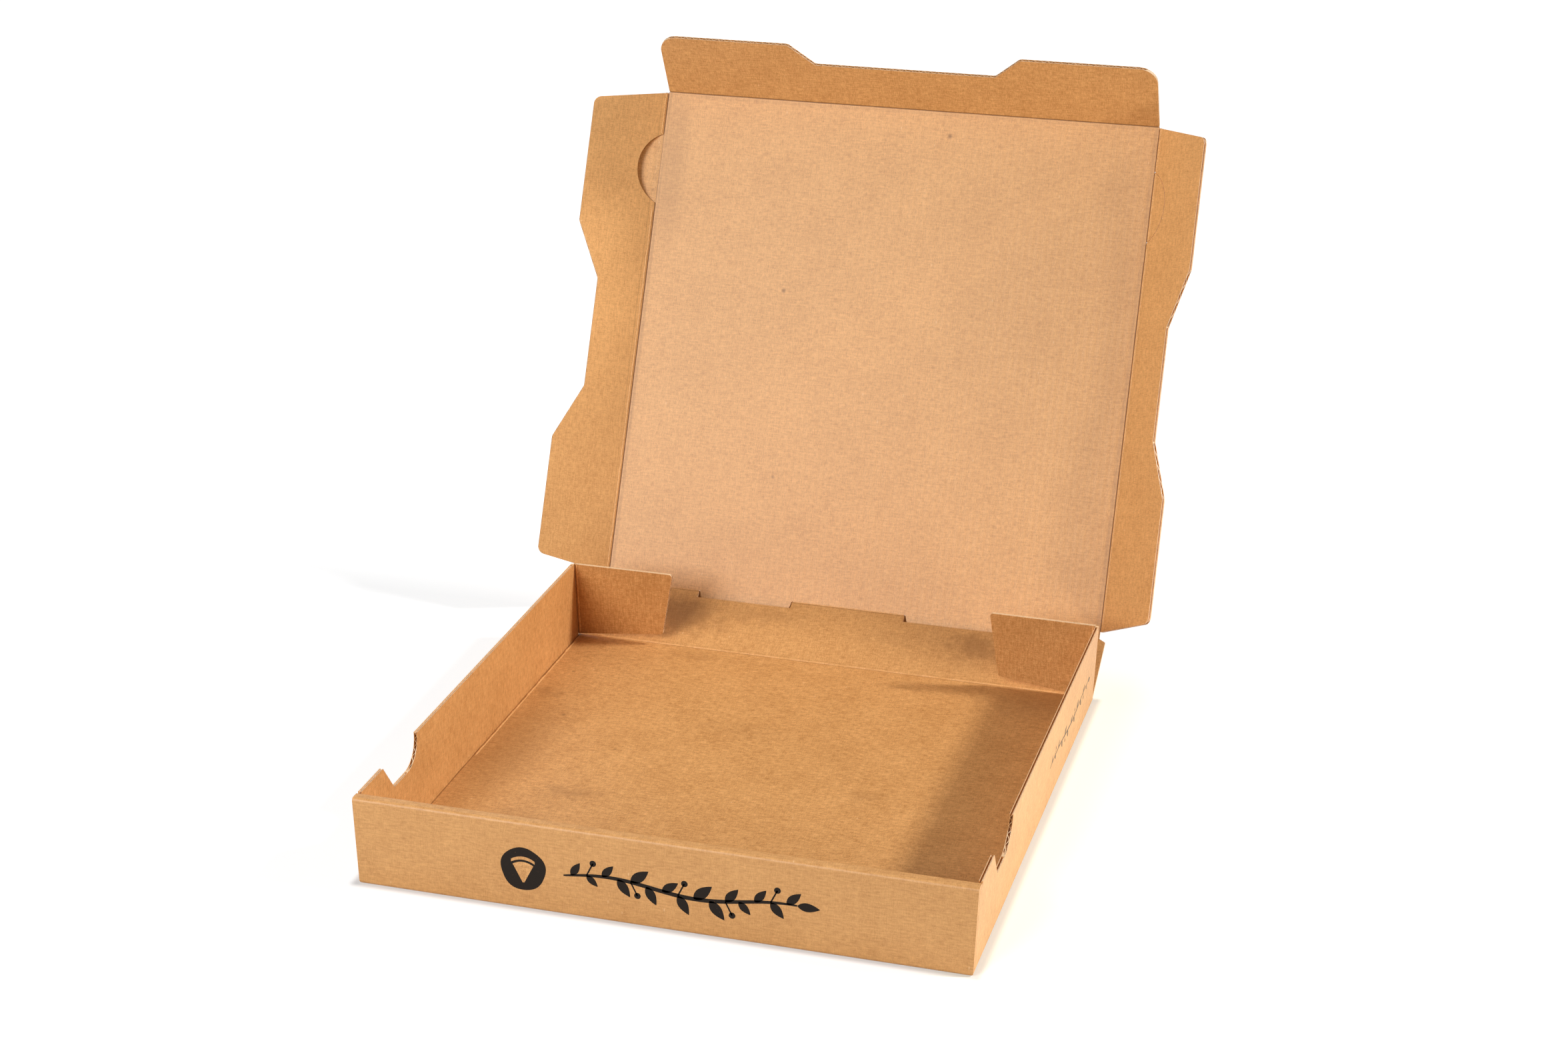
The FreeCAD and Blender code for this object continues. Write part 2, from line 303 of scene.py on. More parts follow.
def triangles(node):
    """Corners of a node's triangles, with their normals and areas."""
    mesh = frame["nodes"][node].data
    mesh.calc_loop_triangles()
    points = np.empty(len(mesh.vertices) * 3)
    mesh.vertices.foreach_get("co", points)
    index = np.empty(len(mesh.loop_triangles) * 3, int)
    mesh.loop_triangles.foreach_get("vertices", index)
    corners = points.reshape(-1, 3)[index.reshape(-1, 3)]
    cross = np.cross(corners[:, 1] - corners[:, 0], corners[:, 2] - corners[:, 0])
    length = np.linalg.norm(cross, axis=1)
    normals = cross / np.maximum(length, 1e-15)[:, None]
    return corners, normals, length / 2


def largest_normal(normals, areas):
    """Normal that the largest area shares."""
    _, group = np.unique(normals.round(3), axis=0, return_inverse=True)
    size = np.bincount(group.ravel(), weights=areas)
    best = group.ravel() == size.argmax()
    mean = (normals[best] * areas[best, None]).sum(axis=0)
    return mean / np.linalg.norm(mean)


def outward(node, joint):
    """Outward normal of the panel that a node has at a fold.

    That panel's outer face lies one board thickness outside the fold line.
    """
    corners, normals, areas = triangles(node)
    pivot, axis = np.array(joint["pos_m"]), np.array(joint["axis"])
    offset = ((corners.mean(axis=1) - pivot) * normals).sum(axis=1)
    along = abs(normals @ axis) < 0.02
    outside = abs(offset - BOARD) < 0.05 * MM
    chosen = along & outside
    return largest_normal(normals[chosen], areas[chosen])


def fold_spans(node, joint):
    """Stretches of a fold line along which a node's inner edge runs."""
    corners, _, _ = triangles(node)
    pivot, axis = np.array(joint["pos_m"]), np.array(joint["axis"])
    ends = np.stack((corners, np.roll(corners, -1, axis=1)), axis=2).reshape(-1, 2, 3)
    along = (ends - pivot) @ axis
    apart = np.linalg.norm(ends - pivot - along[..., None] * axis, axis=2)
    near = (apart < 0.25 * MM).all(axis=1) & (abs(along[:, 0] - along[:, 1]) > MM)
    pieces = sorted(np.sort(along[near], axis=1).tolist())
    spans = [pieces[0]]
    for low, high in pieces[1:]:
        if low <= spans[-1][1] + MM / 10:
            spans[-1][1] = max(spans[-1][1], high)
        else:
            spans.append([low, high])
    return spans


def shared_spans(joint):
    """Stretches of a fold line that both of its panels reach."""
    shared = [(max(low, start), min(high, end))
              for low, high in fold_spans(joint["parent"], joint)
              for start, end in fold_spans(joint["child"], joint)]
    return [(low, high) for low, high in shared if high - low > MM]


def panel_axes(joint):
    """Origin and axes of a folding panel: along its fold, away from it, outward."""
    along = np.array(joint["axis"])
    outer = outward(joint["child"], joint)
    away = np.cross(outer, along)
    centre = triangles(joint["child"])[0].mean(axis=(0, 1))
    if (centre - joint["pos_m"]) @ away < 0:
        away = -away
    return np.array(joint["pos_m"]), along, away, outer


def panel_place(writer, axes):
    """Object coordinates turned into a panel's own: along, away and outward."""
    origin, *rows = axes
    if np.linalg.det(rows) < 0:
        rows[2] = -rows[2]
    turn = Matrix([list(row) for row in rows])
    shift = -(np.array(turn) @ origin)
    mapping = writer.add("ShaderNodeMapping", {
        "Vector": writer.add("ShaderNodeTexCoord").outputs["Object"],
        "Location": tuple(shift), "Rotation": turn.to_euler("XYZ")})
    return mapping.outputs["Vector"], rows[2]


def tray_place(writer):
    """Coordinates on the tray: across the flutes, along them, and which face.

    The third one is 0 on the floor, 1 on the side walls and all upper edges,
    and 2 on the front.
    """
    coordinates = writer.add("ShaderNodeTexCoord")
    normal = writer.vector("ABSOLUTE", coordinates.outputs["Normal"])
    facing = writer.add("ShaderNodeSeparateXYZ", {0: normal})
    place = writer.add("ShaderNodeSeparateXYZ", {0: coordinates.outputs["Object"]})
    sideways = writer.math("GREATER_THAN", facing.outputs[0], 0.7)
    forward = writer.math("GREATER_THAN", facing.outputs[1], 0.7)
    across = writer.add("ShaderNodeMix", {
        0: sideways, 2: place.outputs[0], 3: place.outputs[2]})
    along = writer.add("ShaderNodeMix", {
        0: forward, 2: place.outputs[1], 3: place.outputs[2]})
    raised = writer.math("GREATER_THAN", place.outputs[2], RAISED)
    face = writer.math("MULTIPLY_ADD", forward, 2.0, sideways)
    face = writer.math("MAXIMUM", face, raised)
    return writer.add("ShaderNodeCombineXYZ", {
        0: across.outputs[0], 1: along.outputs[0], 2: face}).outputs[0]


def grain(writer, place, strength=1.0):
    """Tone of the liner about zero, and its height for the bump."""
    look = bpy.context.scene.pizza_board
    parts = writer.add("ShaderNodeSeparateXYZ", {0: place})
    patches = writer.noise(place, 38.0, detail=3.0)
    clouds = writer.noise(writer.vector("MULTIPLY", place, (0.5, 1.0, 1.0)), 260.0, detail=3.0)
    across = writer.noise(writer.vector("MULTIPLY", place, (260.0, 1300.0, 900.0)), 1.0,
                          detail=3.0)
    along = writer.noise(writer.vector("MULTIPLY", place, (1900.0, 420.0, 900.0)), 1.0)
    fine = writer.noise(place, 2600.0, detail=1.0)
    wave = writer.math("SINE", writer.math(
        "MULTIPLY", parts.outputs[0], 2 * math.pi / look.flute_pitch))
    patchy = writer.math("ADD", patches, 0.5)
    wave = writer.math("MULTIPLY", wave, patchy)
    calm = writer.math("MULTIPLY_ADD", parts.outputs[2], -0.22, 1.0)
    mottling = writer.math("MULTIPLY", writer.total(patches, clouds),
                           look.mottling * strength)
    across = writer.math("MULTIPLY", across, strength)
    fibres = writer.math("MULTIPLY", writer.total(across, along, fine), look.fibre)
    lines = writer.math("MULTIPLY", wave, 0.06)
    tone = writer.math("MULTIPLY", writer.total(mottling, fibres, lines), calm)
    return tone, wave, writer.total(across, along)


def flecks(writer, place, size, spacing, share):
    """Mask of scattered small flecks; only some of the cells hold one."""
    cells = writer.add("ShaderNodeTexVoronoi", {
        "Vector": place, "Scale": 1.0 / spacing, "Randomness": 1.0})
    inside = writer.ease(cells.outputs["Distance"], size / spacing, 0.4 * size / spacing)
    chance = writer.add("ShaderNodeSeparateColor", {0: cells.outputs["Color"]})
    chosen = writer.math("LESS_THAN", chance.outputs[0], share)
    return writer.math("MULTIPLY", inside, chosen)


def smudges_and_shade(writer, place, spots):
    """Mask of soft smudges and patches of painted shade, each a place, radius, stretch across
    and strength.
    """
    rough = writer.noise(place, 190.0, detail=4.0)
    result = 0.0
    for centre, radius, stretch, strength in spots:
        apart = writer.vector("SUBTRACT", place, centre)
        apart = writer.vector("MULTIPLY", apart, (1.0 / stretch, 1.0, 1.0))
        apart = writer.vector("LENGTH", apart, output="Value")
        apart = writer.math("MULTIPLY_ADD", rough, min(radius * 2.2, 20 * MM), apart)
        mask = writer.ease(apart, radius, radius * 0.15, 0.0, strength)
        result = writer.math("MAXIMUM", result, mask)
    return result


def crease_shade_lines(writer, place, lines):
    """Mask of painted shade along folds, as dark lines: axis, position, half width and strength.
    """
    parts = writer.add("ShaderNodeSeparateXYZ", {0: place})
    wander = writer.noise(place, 90.0)
    result = 0.0
    for axis, position, width, strength in lines:
        apart = writer.math("SUBTRACT", parts.outputs[axis], position)
        apart = writer.math("MULTIPLY_ADD", wander, 0.8 * width, apart)
        apart = writer.math("ABSOLUTE", apart)
        broken = writer.math("MULTIPLY_ADD", wander, 1.2 * strength, strength)
        mask = writer.math("MULTIPLY", writer.ease(apart, width, 0.0), broken)
        result = writer.math("MAXIMUM", result, mask)
    return result


def inside_marks_and_shade(writer, place, spots, lines):
    """Mask of the smudges and painted shade on a panel's inner face.

    The inner face is where the third coordinate is nearer zero than half a board.
    """
    result = 0.0
    if spots:
        result = writer.math("MAXIMUM", result, smudges_and_shade(writer, place, spots))
    if lines:
        result = writer.math("MAXIMUM", result, crease_shade_lines(writer, place, lines))
    height = writer.add("ShaderNodeSeparateXYZ", {0: place}).outputs[2]
    inside = writer.math("LESS_THAN", writer.math("ABSOLUTE", height), BOARD / 2)
    return writer.math("MULTIPLY", result, inside)


def finish_board(writer, place, normal_share, spots=(), lines=(), lift=0.0, strength=1.0):
    """Colour, roughness and bump of board from its own coordinates."""
    look = bpy.context.scene.pizza_board
    tone, wave, fibres = grain(writer, place, strength)
    # The lift shifts the tone towards pale or dark kraft: painted light and shade on the panels,
    # a painted highlight on the beads
    tone = writer.math("ADD", tone, 0.5 + lift)
    liner = writer.tint(tone, opaque(look.kraft_dark), opaque(look.kraft_pale))
    light = flecks(writer, writer.vector("MULTIPLY", place, (1.0, 0.35, 1.0)),
                   0.35 * MM, 3.0 * MM, 0.12)
    liner = writer.tint(writer.math("MULTIPLY", light, 0.35), liner,
                        opaque(look.cut_edge, 1.2))
    dark = flecks(writer, place, 0.22 * MM, 5.0 * MM, 0.16)
    dirt_and_shade = writer.math("MULTIPLY", dark, 0.55)
    # Smudges and the painted shade in folds and corners join the dark specks here
    if spots or lines:
        dirt_and_shade = writer.math("MAXIMUM", dirt_and_shade, inside_marks_and_shade(writer, place, spots, lines))
    liner = writer.tint(dirt_and_shade, liner, opaque(look.soiling_and_shade))
    cut = writer.tint(writer.math("MULTIPLY_ADD", fibres, 1.4, 0.5, clamp=True),
                      opaque(look.cut_edge, 0.75), opaque(look.cut_edge, 1.15))
    colour = writer.tint(normal_share, cut, liner)
    height = writer.math("MULTIPLY", wave, look.washboard)
    height = writer.math("MULTIPLY_ADD", fibres, 0.018 * MM, height)
    bump = writer.add("ShaderNodeBump", {"Height": height, "Strength": 0.8,
                      "Distance": 1.0})
    writer.feed(writer.shader.inputs["Base Color"], colour)
    writer.feed(writer.shader.inputs["Normal"], bump.outputs["Normal"])
    writer.shader.inputs["Roughness"].default_value = look.roughness
    writer.shader.inputs["Specular IOR Level"].default_value = 0.5
    return writer.material


def facing_share(writer, normal):
    """One on faces that look along a normal either way, none on cut edges."""
    coordinates = writer.add("ShaderNodeTexCoord")
    cosine = writer.vector("DOT_PRODUCT", coordinates.outputs["Normal"],
                           tuple(normal), output="Value")
    return writer.ease(writer.math("ABSOLUTE", cosine), 0.6, 0.9)


def panel_material(name, joint, spots=(), lines=(), lift=0.0):
    """Board of one folding panel, its pattern in line with the panel."""
    writer = NodeWriter(name)
    place, outer = panel_place(writer, panel_axes(joint))
    share = facing_share(writer, outer)
    return finish_board(writer, place, share, spots, lines, lift)


def plain_board(name, lift=0.0):
    """Board of the small folded strips, its pattern in plain coordinates."""
    writer = NodeWriter(name)
    place = writer.add("ShaderNodeTexCoord").outputs["Object"]
    return finish_board(writer, place, 1.0, lift=lift)


def tray_material():
    """Board of the tray, with the smudges and specks on its floor, and painted shade in places
    on it and along its creases.
    """
    writer = NodeWriter("tray_board")
    place = tray_place(writer)
    look = bpy.context.scene.pizza_crease
    side = abs(JOINTS["left_corner_flap_fold"]["pos_m"][0])
    rear = JOINTS["rear_wall_fold"]["pos_m"][1]
    # Dark lines along the floor's side creases and its rear crease: painted shade in the folds
    lines = (
        (0, -side + look.line, 1.6 * look.line, 1.0),
        (0, side - look.line, 1.6 * look.line, 1.0),
        (1, rear - 1.1 * MM, 1.4 * look.line, 0.45),
    )
    return finish_board(writer, place, tray_share(writer), FLOOR_SPECKS_AND_SHADE, lines,
                        strength=bpy.context.scene.pizza_board.tray_grain)


def tray_share(writer):
    """None on the side walls' cut top edges, one on all other faces."""
    coordinates = writer.add("ShaderNodeTexCoord")
    normal = writer.add("ShaderNodeSeparateXYZ", {0: coordinates.outputs["Normal"]})
    place = writer.add("ShaderNodeSeparateXYZ", {0: coordinates.outputs["Object"]})
    behind_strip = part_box("base_tray")[0][1] + 6.5 * MM
    level = writer.math("GREATER_THAN", normal.outputs[2], 0.5)
    raised = writer.math("GREATER_THAN", place.outputs[2], RAISED)
    behind = writer.math("GREATER_THAN", place.outputs[1], behind_strip)
    cut = writer.math("MULTIPLY", writer.math("MULTIPLY", level, raised), behind)
    return writer.math("SUBTRACT", 1.0, cut)


# Specks, smudges and painted shade on the floor: place across and along, radius, stretch across,
# strength. The long band along the left wall, the streak by the rear crease and the large patch
# in the right rear corner are painted shade
FLOOR_SPECKS_AND_SHADE = (
    ((-0.1044, 0.0413, 0.0), 1.7 * MM, 1.3, 0.80),
    ((-0.0694, 0.0139, 0.0), 1.0 * MM, 1.2, 0.65),
    ((-0.1166, 0.0879, 0.0), 0.9 * MM, 1.4, 0.60),
    ((-0.0282, 0.1081, 0.0), 0.7 * MM, 1.2, 0.50),
    ((-0.0664, 0.1220, 0.0), 8.0 * MM, 2.5, 0.24),
    ((-0.1200, 0.0620, 0.0), 9.0 * MM, 1.2, 0.32),
    ((-0.0751, -0.0321, 0.0), 9.0 * MM, 2.0, 0.30),
    ((0.0430, 0.1158, 0.0), 3.0 * MM, 6.0, 0.26),
    ((0.0514, 0.0025, 0.0), 8.0 * MM, 1.6, 0.22),
    ((-0.0200, 0.0500, 0.0), 12.0 * MM, 2.5, 0.12),
    ((-0.0500, -0.0800, 0.0), 10.0 * MM, 2.5, 0.24),
    ((-0.0900, -0.0650, 0.0), 16.0 * MM, 1.3, 0.24),
    ((-0.1190, 0.0000, 0.0), 85.0 * MM, 0.36, 0.32),
    ((0.1100, 0.1250, 0.0), 34.0 * MM, 1.6, 0.46),
)

# Marks on the insides of the rear wall, the lid and its left flap, in the same way. Those on the
# rear wall are painted shade: the shadows beside the two corner flaps and softer bands across
# the wall
REAR_WALL_PAINTED_SHADE = (
    ((-0.0850, 0.0200, 0.0), 17.0 * MM, 2.2, 0.55),
    ((-0.0450, 0.0270, 0.0), 9.0 * MM, 4.0, 0.22),
    ((0.0700, 0.0240, 0.0), 13.0 * MM, 1.6, 0.45),
    ((0.0250, 0.0230, 0.0), 8.0 * MM, 3.0, 0.14),
)
# Three dark specks; a wide painted shade over the right part of the lid; a darker band along its
# left edge
LID_SPECKS_AND_SHADE = (
    ((0.0225, 0.2407, 0.0), 1.9 * MM, 1.0, 0.85),
    ((-0.0532, 0.1560, 0.0), 1.8 * MM, 1.0, 0.85),
    ((-0.0472, 0.0614, 0.0), 1.4 * MM, 1.0, 0.65),
    ((0.0950, 0.1700, 0.0), 120.0 * MM, 0.8, 0.13),
    ((-0.1200, 0.2150, 0.0), 60.0 * MM, 0.20, 0.26),
)
# Painted shade that darkens the lower part of the left flap
LEFT_FLAP_PAINTED_SHADE = (
    ((0.0300, 0.0180, 0.0), 110.0 * MM, 1.0, 0.17),
)
# Specks, smudges and painted shade of each panel
PANEL_SPECKS_AND_SHADE = {
    "lid_panel": LID_SPECKS_AND_SHADE,
    "rear_wall": REAR_WALL_PAINTED_SHADE,
    "lid_left_flap": LEFT_FLAP_PAINTED_SHADE,
}

# Painted light and shade: how much paler each panel is than the tray, as a share of the way to
# pale kraft. The lid and its side flaps are painted lighter where the lamps fall on them, the
# front flap and the corner flaps darker where they lie in shade
PANEL_PAINTED_LIGHT = {
    "lid_panel": 0.16,
    "lid_left_flap": 0.21,
    "lid_right_flap": 0.14,
    "lid_front_flap": -0.08,
    "left_corner_flap": -0.26,
    "right_corner_flap": -0.20,
}


def panel_crease_shade():
    """Painted shade along the folds of each panel, as dark lines: axis, position, half width and
    strength.
    """
    look = bpy.context.scene.pizza_crease
    line, band = look.line, look.band
    lid = JOINTS["lid_fold"]
    away = panel_axes(lid)[2]
    front = np.array(JOINTS["lid_front_flap_fold"]["pos_m"])
    rear = np.array(JOINTS["rear_wall_fold"]["pos_m"])
    depth = (front - lid["pos_m"]) @ away
    half = JOINTS["lid_right_flap_fold"]["pos_m"][0]
    wall_top = np.linalg.norm(np.array(lid["pos_m"]) - rear)
    at_fold = (1, line / 2, line, 0.85)
    return {
        "lid_panel": (
            (0, -half + line / 2, line, 0.80), (0, -half + band, band, 0.34),
            (0, half - line / 2, line, 0.80), (0, half - band, band, 0.30),
            (1, depth - line / 2, line, 0.80), (1, depth - band, band, 0.16)),
        "rear_wall": (
            (1, 1.2 * MM, line, 0.25), (1, wall_top - line, 1.4 * line, 0.55)),
        "lid_left_flap": (at_fold, (1, 2 * band, line, 0.32)),
        "lid_right_flap": (at_fold, (1, 2 * band, line, 0.18)),
        "lid_front_flap": (at_fold,),
        "left_corner_flap": (at_fold,),
        "right_corner_flap": (at_fold,),
    }


def closed_mesh(name, points, faces, material, body):
    """Closed piece with its faces turned outward, riding on a body."""
    mesh = bpy.data.meshes.new(name)
    mesh.from_pydata(points.tolist(), [], faces)
    work = bmesh.new()
    work.from_mesh(mesh)
    bmesh.ops.recalc_face_normals(work, faces=work.faces)
    work.to_mesh(mesh)
    work.free()
    mesh.materials.append(material)
    piece = bpy.data.objects.new(name, mesh)
    bpy.context.scene.collection.objects.link(piece)
    if body:
        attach(piece, body)
    return piece


def swept_faces(rings, around):
    """Quads between neighbouring rings, and a cap on each end."""
    ring, step = np.meshgrid(np.arange(rings - 1), np.arange(around), indexing="ij")
    here = ring * around + step
    beside = ring * around + (step + 1) % around
    quads = np.stack((here, beside, beside + around, here + around), axis=-1)
    first = list(range(around))
    last = [(rings - 1) * around + index for index in first]
    return quads.reshape(-1, 4).tolist() + [first[::-1], last]


def bend_points(joint, span, radius):
    """Wedge of bent board about a fold line.

    The profile is the fold line and an arc about it, from the outward
    normal of one panel to that of the other, and it runs along the fold.
    """
    pivot, axis = np.array(joint["pos_m"]), np.array(joint["axis"])
    first = outward(joint["parent"], joint)
    last = outward(joint["child"], joint)
    turn = math.acos(float(np.clip(first @ last, -1, 1)))
    square = (last - first * math.cos(turn)) / math.sin(turn)
    angle = np.linspace(0.0, turn, 13)[:, None]
    arc = radius * (first * np.cos(angle) + square * np.sin(angle))
    profile = np.vstack((np.zeros(3), arc))
    along = np.linspace(*span, 9)[:, None, None] * axis
    return (pivot + along + profile).reshape(-1, 3), arc[0], arc[-1]


def bead_points(start, end, radius, outer, seed):
    """Thin uneven bulge along the inside of a fold.

    The profile is a circle whose radius and centre wander a little along
    the way, as sums of slow sines, and shrink at both ends.
    """
    rings, around = 121, 10
    chance = np.random.default_rng(seed)
    part = np.linspace(0.0, 1.0, rings)[:, None]
    waves, phases = chance.uniform(2, 23, 5), chance.uniform(0, 2 * math.pi, 5)
    wander = np.sin(2 * math.pi * part * waves + phases).sum(axis=1) / 5
    taper = np.clip(np.minimum(part[:, 0], 1 - part[:, 0]) * 40, 0.3, 1)
    size = radius * (1 + 0.35 * wander) * taper
    run = (end - start) / np.linalg.norm(end - start)
    side = np.cross(run, outer)
    angle = np.arange(around) * 2 * math.pi / around
    circle = np.cos(angle)[:, None] * side + np.sin(angle)[:, None] * outer
    centre = start + part * (end - start) + side * (wander * radius * 0.3)[:, None]
    points = centre[:, None] + size[:, None, None] * circle
    return points.reshape(-1, 3), swept_faces(rings, around)


def shade_round(piece, limit):
    """Smooth shading with edges kept sharp above a limit in degrees."""
    mesh = piece.data
    mesh.polygons.foreach_set("use_smooth", np.ones(len(mesh.polygons), bool))
    mesh.set_sharp_from_angle(angle=math.radians(limit))


def make_bend(joint, material):
    """Bent outer board of one fold, following both of its panels."""
    look = bpy.context.scene.pizza_crease
    for index, (low, high) in enumerate(shared_spans(joint)):
        span = (low + 0.2 * MM, high - 0.2 * MM)
        points, first, last = bend_points(joint, span, BOARD - look.clearance)
        name = "bend_" + joint["name"] + "_" + str(index)
        faces = swept_faces(9, 14)
        piece = closed_mesh(name, points, faces, material, None)
        shade_round(piece, 40)
        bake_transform(piece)


def make_bead(joint, material, size, shift):
    """Bulge of the inner liner along one fold, shifted onto the folding panel."""
    pivot, along, away, outer = panel_axes(joint)
    for index, (low, high) in enumerate(shared_spans(joint)):
        centre = pivot + away * shift + outer * size * 0.45
        points, faces = bead_points(centre + along * low, centre + along * high,
                                    size, outer, seed=len(joint["name"]))
        name = "bead_" + joint["name"] + "_" + str(index)
        piece = closed_mesh(name, points, faces, material, joint["child"])
        shade_round(piece, 60)


def tray_face(direction):
    """Point and normal of the tray's largest flat that looks about one way."""
    corners, normals, areas = triangles("base_tray")
    chosen = normals @ direction > 0.98
    normal = largest_normal(normals[chosen], areas[chosen])
    same = chosen & (normals @ normal > 0.9999)
    reach = (corners.mean(axis=1) @ normal)[same]
    size = areas[same]
    level = reach[np.argsort(reach)][np.searchsorted(
        np.cumsum(size[np.argsort(reach)]), size.sum() / 2)]
    return normal * level, normal


def side_beads(material):
    """Bulges on the floor beside its side creases, over their rear half."""
    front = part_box("base_tray")[0][1]
    look = bpy.context.scene.pizza_crease
    rear = JOINTS["left_corner_flap_fold"]["pos_m"]
    for side, name in ((-1, "left"), (1, "right")):
        foot = np.array([side * (abs(rear[0]) - 1.1 * MM), 0.0, BOARD])
        foot[2] -= look.bead * 0.45
        start = foot - FRONT * (front + 120 * MM)
        end = foot - FRONT * (rear[1] - 0.5 * MM)
        points, faces = bead_points(start, end, look.bead, -UP, seed=20 + side)
        piece = closed_mesh("bead_floor_" + name, points, faces, material, "base_tray")
        shade_round(piece, 60)


def tab_shade_backings(material):
    """Board-coloured sheets behind the lid's tabs, wider than the tabs, so that the gaps beside
    them show as shade instead of the white floor.
    """
    joint = JOINTS["lid_fold"]
    origin, along, away, outer = panel_axes(joint)
    edges = np.array(fold_spans("rear_wall", joint)).ravel()
    inner = np.sort(edges)[1:-1]
    overlap = bpy.context.scene.pizza_crease.tab_overlap
    reach = (triangles("lid_panel")[0].reshape(-1, 3) - origin) @ away
    tip = reach.min() + 0.1 * MM
    for index, (low, high) in enumerate(inner.reshape(-1, 2)):
        low, high = low - overlap, high + overlap
        outline = np.array([(low, tip), (high, tip), (high, 0.0), (low, 0.0)])
        points, faces = flat_pieces([outline], (origin, along, away, outer),
                                    BOARD + 0.12 * MM, 0.1 * MM)
        closed_mesh("tab_shade_backing_" + str(index), points, faces, material, "lid_panel")


def moon_shade_backing(material):
    """Board-coloured sheet behind the cut half-moon, a little wider than its board, so that the
    slit round it shows as shade instead of the white floor.

    It takes its outline from the face of the lid panel that leans out of the
    panel's plane beyond the left fold, grown outward from the root's middle.
    """
    look = bpy.context.scene.pizza_crease
    fold = JOINTS["lid_left_flap_fold"]["pos_m"][0]
    _, _, away, outer = panel_axes(JOINTS["lid_fold"])
    corners, normals, areas = triangles("lid_panel")
    beyond = corners[:, :, 0].max(axis=1) < fold + MM
    leaning = beyond & (normals @ outer > 0.95)
    normal = largest_normal(normals[leaning], areas[leaning])
    face = corners[leaning & (normals @ normal > 0.999)].reshape(-1, 3)
    side = np.cross(away, normal)
    side = side * -np.sign(side[0])
    flat = np.unique(np.column_stack((face @ side, face @ away)).round(6), axis=0)
    root = np.array([flat[:, 0].min(), (flat[:, 1].min() + flat[:, 1].max()) / 2])
    flat = flat - root
    rim = flat[flat[:, 0] > 0.5 * MM]
    rim = rim * (1 + look.moon_overlap / np.linalg.norm(rim, axis=1))[:, None]
    rim = rim[np.argsort(np.arctan2(rim[:, 1], rim[:, 0]))]
    half = flat[:, 1].max() + look.moon_overlap
    outline = np.vstack(([(0.0, -half)], rim, [(0.0, half)]))
    origin = normal * (face @ normal).mean() + side * root[0] + away * root[1]
    points, faces = flat_pieces([outline], (origin, side, away, normal),
                                0.12 * MM, 0.1 * MM)
    closed_mesh("moon_shade_backing", points, faces, material, "lid_panel")


def flat_pieces(outlines, place, lift, thickness):
    """Closed flat shapes in a plane: each outline and its copy, a film apart."""
    origin, right, up, outer = place
    points, faces, count = [], [], 0
    for outline in outlines:
        flat = origin + outline[:, :1] * right + outline[:, 1:] * up
        points += [flat + outer * lift, flat + outer * (lift - thickness)]
        size = len(outline)
        index = np.arange(size)
        after = (index + 1) % size
        sides = np.stack((index, after, after + size, index + size), axis=1) + count
        faces += sides.tolist()
        faces.append((index + count).tolist())
        faces.append((index[::-1] + size + count).tolist())
        count += 2 * size
    return np.vstack(points), faces


def leaf(base, angle, length, width):
    """Pointed oval: half width goes with the sine of the way, sharper at the tip."""
    way = np.linspace(0.0, 1.0, 17)
    half = width / 2 * np.sin(math.pi * way ** 0.8) ** 0.9
    line = np.column_stack((way * length, half))
    back = np.column_stack((way * length, -half))[::-1][1:-1]
    outline = np.vstack((line, back))
    turn = np.array([[math.cos(angle), math.sin(angle)],
                     [-math.sin(angle), math.cos(angle)]])
    return outline @ turn + base


def disc(centre, radius, wobble=0.0, corners=48):
    """Circle whose radius wobbles with two slow waves round it."""
    angle = np.arange(corners) * 2 * math.pi / corners
    size = radius * (1 + wobble * (np.sin(3 * angle + 0.6) + np.sin(5 * angle)) / 2)
    return np.column_stack((np.cos(angle), np.sin(angle))) * size[:, None] + centre


def brush(line, widths):
    """Outline of a stroke: its line shifted both ways square to its run."""
    run = np.gradient(line, axis=0)
    run /= np.linalg.norm(run, axis=1)[:, None]
    square = np.column_stack((-run[:, 1], run[:, 0])) * widths[:, None] / 2
    return np.vstack((line + square, (line - square)[::-1]))


def sprig(start, end, level, sway, stroke, leaves, size):
    """Leafy sprig along a wavy stem, as a list of outlines.

    The stem's height goes with the sine of the way, and the leaves stand on it in turn above and
    below, with a berry on a short stalk at every third leaf.
    """
    way = np.linspace(0.0, 1.0, 90)
    stem_x = start + (end - start) * way
    stem_z = level + sway * np.sin(2.6 * math.pi * way)
    line = np.column_stack((stem_x, stem_z))
    widths = stroke * (0.35 + 0.65 * np.sin(math.pi * way) ** 0.6)
    outlines = [brush(line, widths)]
    slope = np.arctan2(np.gradient(stem_z), np.gradient(stem_x))
    for number in range(leaves):
        part = (number + 0.6) / (leaves + 0.2)
        at = int(part * 89)
        above = 1 if number % 2 == 0 else -1
        length = size * (1.05 - 0.3 * abs(2 * part - 1) + 0.12 * math.sin(5 * number))
        angle = slope[at] + above * (0.85 + 0.12 * math.sin(3 * number))
        outlines.append(leaf(line[at], angle, length, 0.46 * length))
        if number % 3 == 1:
            berry = line[at] + np.array([0.30 * size, -above * 0.62 * size])
            outlines.append(disc(berry, 0.15 * size, corners=20))
            stalk = np.linspace(line[at], berry, 8)
            outlines.append(brush(stalk, np.full(8, stroke * 0.35)))
    outlines.append(leaf(line[-1], slope[-1], size, 0.42 * size))
    return outlines


